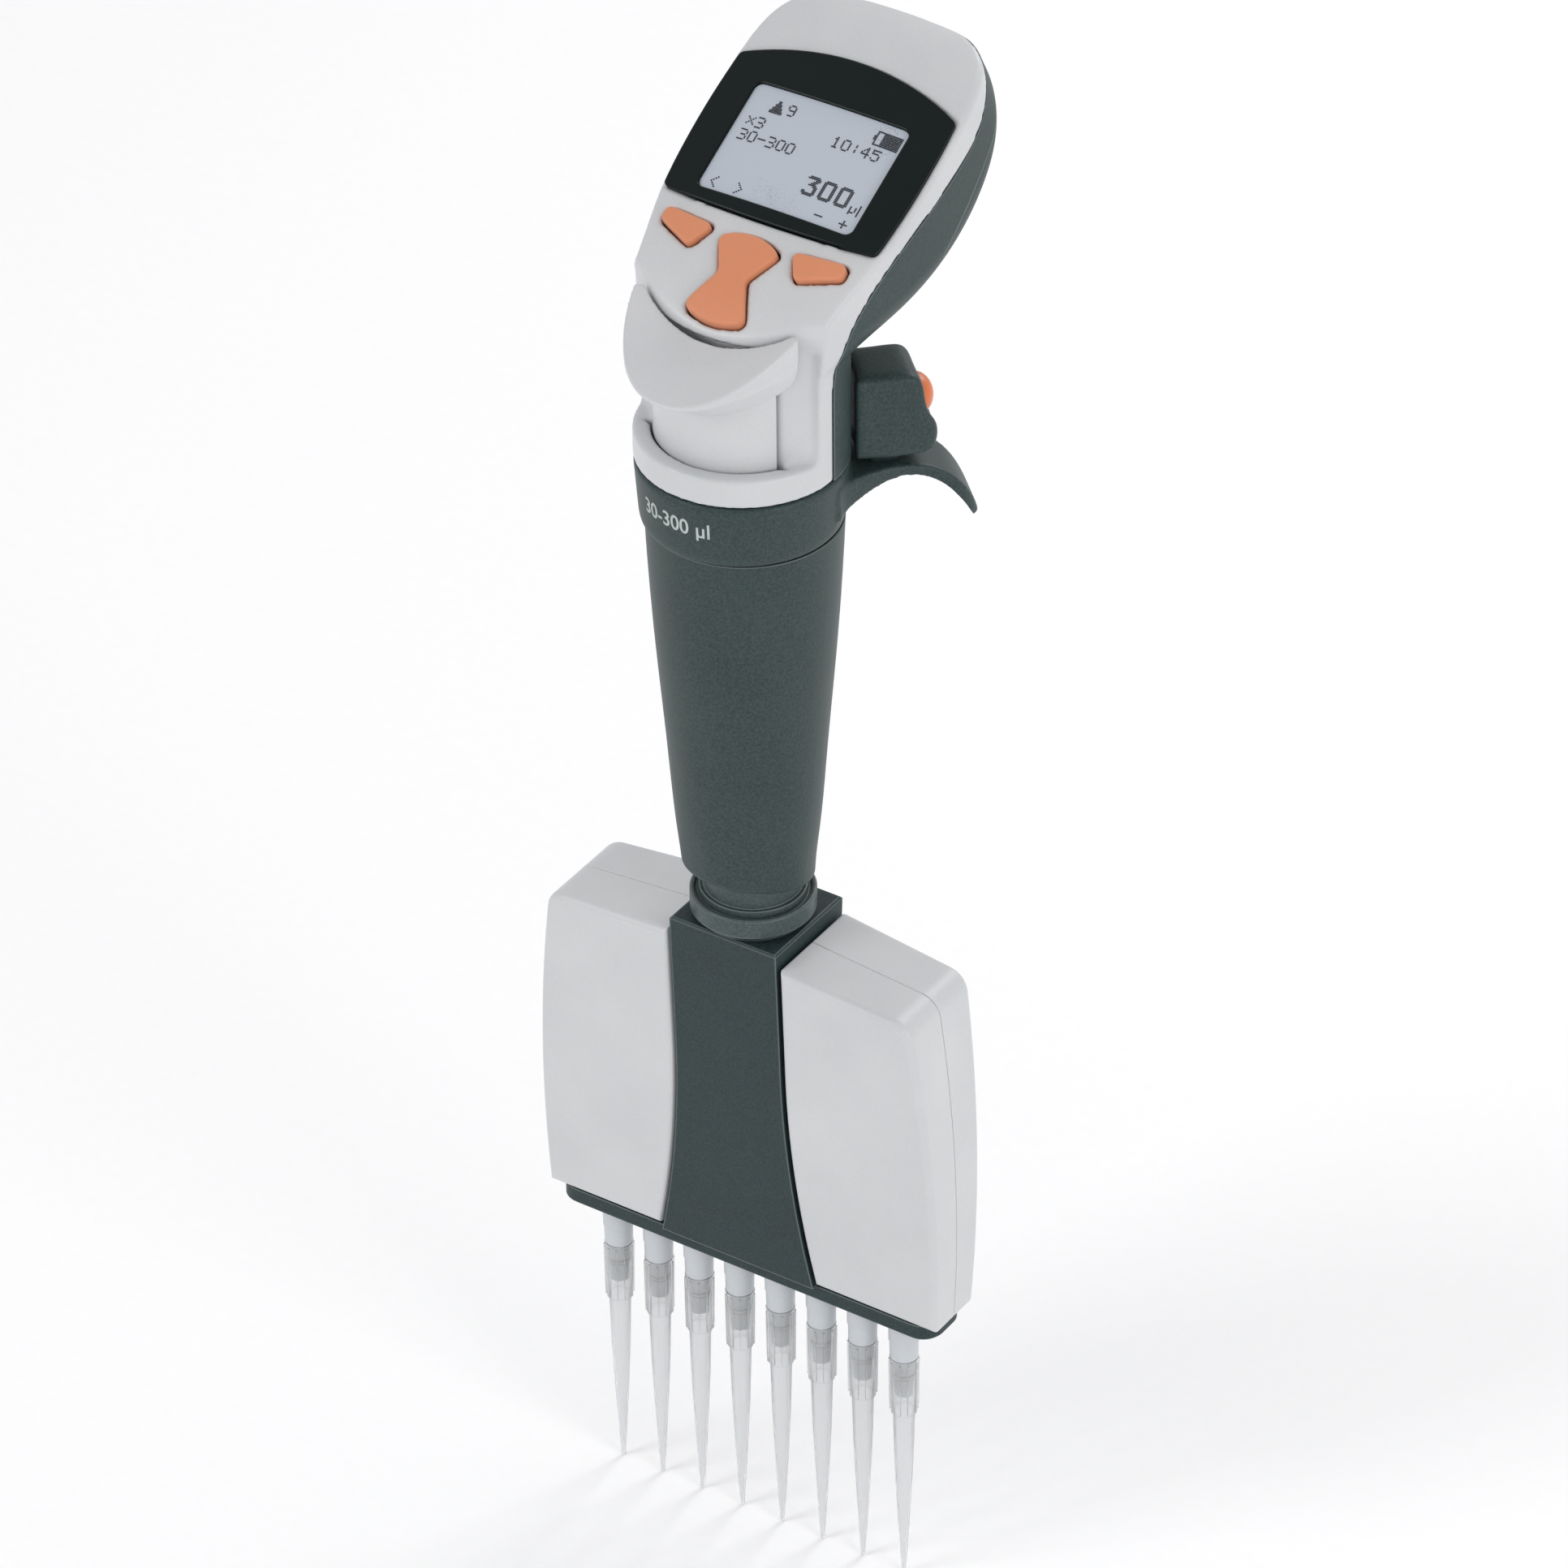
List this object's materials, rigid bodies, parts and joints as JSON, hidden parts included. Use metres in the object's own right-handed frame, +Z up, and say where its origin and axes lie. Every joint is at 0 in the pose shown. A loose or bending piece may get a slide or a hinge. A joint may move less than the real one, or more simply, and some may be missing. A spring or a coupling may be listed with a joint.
{
  "type": "multichannel electronic pipette",
  "caption": "Hand-held electronic pipette: tilted display head, turning finger rest, conical handle and a swivelling channel row with tips fitted.",
  "frame": {"origin": "middle of the row of tip ends", "axes": "+X along the row of tips, -Y the display side, +Z up the handle"},
  "size_m": [0.0854, 0.0787, 0.3027],
  "materials": {
    "white_abs": "satin moulded ABS",
    "grey_abs": "spark-eroded grain ABS",
    "grey_neck": "fine grain ABS",
    "black_lens": "polished, printed black from behind",
    "lcd": "silver-blue liquid crystal display",
    "orange_key": "silicone-soft keypad plastic",
    "orange_trigger": "moulded ABS",
    "circuit": "glass-epoxy board",
    "keypad_rubber": "silicone mat",
    "battery_foil": "foil pouch",
    "socket_metal": "nickel-plated",
    "motor_case": "zinc-plated steel",
    "steel": "ground stainless steel",
    "brass": "turned brass",
    "spring_steel": "drawn wire",
    "frame_aluminium": "anodised",
    "engineering_plastic": "glass-filled polyamide",
    "cone_plastic": "light grey polyetherimide",
    "seal_rubber": "lubricated nitrile",
    "tip_polypropylene": "translucent polypropylene"
  },
  "bodies": {
    "handle": {"front_housing": "white_abs", "rear_housing": "grey_abs", "charging_socket": "socket_metal", "chassis_tube": "engineering_plastic", "spring_seat": "engineering_plastic", "handle_sleeve": "grey_abs", "motor": "motor_case", "motor_mount": "frame_aluminium", "display_bezel": "black_lens", "lcd_panel": "lcd", "lcd_module": "engineering_plastic", "circuit_board": "circuit", "keypad_mat": "keypad_rubber", "battery": "battery_foil", "ejector_spring": "spring_steel"},
    "battery_door": {"battery_cover": "grey_abs"},
    "thumb_ejector": {"thumb_button": "white_abs", "thumb_stem": "white_abs", "ejector_rod": "steel", "ejector_yoke": "engineering_plastic"},
    "finger_rest": {"finger_support": "grey_abs", "trigger_box": "grey_abs", "trigger_spring": "spring_steel"},
    "trigger": {"trigger_button": "orange_trigger"},
    "left_soft_key": {"left_key": "orange_key"},
    "right_soft_key": {"right_key": "orange_key"},
    "rocker": {"rocker_key": "orange_key"},
    "screw": {"lead_screw": "steel"},
    "drive_slide": {"drive_nut": "brass", "push_rod": "steel"},
    "module": {"neck_ring": "grey_neck", "centre_frame": "grey_abs", "nozzle_plate": "frame_aluminium", "nozzle_cones": "cone_plastic", "cylinders": "steel", "cone_seals": "seal_rubber", "left_front_cover": "white_abs", "left_rear_cover": "white_abs", "right_front_cover": "white_abs", "right_rear_cover": "white_abs"},
    "piston_set": {"piston_plate": "frame_aluminium", "pistons": "steel", "piston_seals": "seal_rubber"},
    "bar_set": {"ejector_crosshead": "engineering_plastic", "ejector_rods": "steel", "ejector_bar": "grey_abs"},
    "tip_set": {"tips": "tip_polypropylene"}
  },
  "joints": [
    {"name": "thumb_ejector_slide", "type": "slide", "parent": "handle", "child": "thumb_ejector", "axis": [0, 0, -1], "range_m": [0, 0.0102], "stiffness_N_per_m": 900, "springref_m": -0.004, "deforming": ["ejector_spring"]},
    {"name": "ejector_bar_slide", "type": "slide", "parent": "module", "child": "bar_set", "axis": [0, 0, -1], "range_m": [0, 0.0105]},
    {"name": "tip_eject_slide", "type": "slide", "parent": "module", "child": "tip_set", "axis": [0, 0, -1], "range_m": [0, 0.012]},
    {"name": "finger_rest_turn", "type": "hinge", "parent": "handle", "child": "finger_rest", "pos_m": [0, -0.0028, 0.233], "axis": [0, 0, 1], "range_deg": [-16, 104]},
    {"name": "trigger_press", "type": "slide", "parent": "finger_rest", "child": "trigger", "axis": [-0.6947, -0.7193, 0], "range_m": [0, 0.0015], "stiffness_N_per_m": 1200, "springref_m": -0.001, "deforming": ["trigger_spring"]},
    {"name": "left_key_press", "type": "slide", "parent": "handle", "child": "left_soft_key", "axis": [0, 0.4848, -0.8746], "range_m": [0, 0.0007], "stiffness_N_per_m": 1500, "springref_m": -0.0003},
    {"name": "right_key_press", "type": "slide", "parent": "handle", "child": "right_soft_key", "axis": [0, 0.4848, -0.8746], "range_m": [0, 0.0007], "stiffness_N_per_m": 1500, "springref_m": -0.0003},
    {"name": "rocker_tilt", "type": "hinge", "parent": "handle", "child": "rocker", "pos_m": [0, -0.00481, 0.27418], "axis": [1, 0, 0], "range_deg": [-3, 3], "stiffness_Nm_per_rad": 1.5},
    {"name": "battery_cover_slide", "type": "slide", "parent": "handle", "child": "battery_door", "axis": [0, 0.8746, 0.4848], "range_m": [0, 0.012]},
    {"name": "drive_slide_up", "type": "slide", "parent": "handle", "child": "drive_slide", "axis": [0, 0, 1], "range_m": [0, 0.014]},
    {"name": "lead_screw_spin", "type": "hinge", "parent": "handle", "child": "screw", "pos_m": [0, -0.0008, 0.18], "axis": [0, 0, 1], "range_deg": [-2530, 2530]},
    {"name": "module_turn", "type": "hinge", "parent": "handle", "child": "module", "pos_m": [0, -0.0008, 0.15], "axis": [0, 0, 1], "continuous": true},
    {"name": "piston_slide", "type": "slide", "parent": "module", "child": "piston_set", "axis": [0, 0, 1], "range_m": [0, 0.0141]}
  ],
  "couplings": [
    {"joint": "ejector_bar_slide", "follows": "thumb_ejector_slide", "ratio": 1},
    {"joint": "tip_eject_slide", "follows": "thumb_ejector_slide", "ratio": 0.3},
    {"joint": "lead_screw_spin", "follows": "drive_slide_up", "rad_per_m": 3141.6},
    {"joint": "piston_slide", "follows": "drive_slide_up", "ratio": 1}
  ]
}
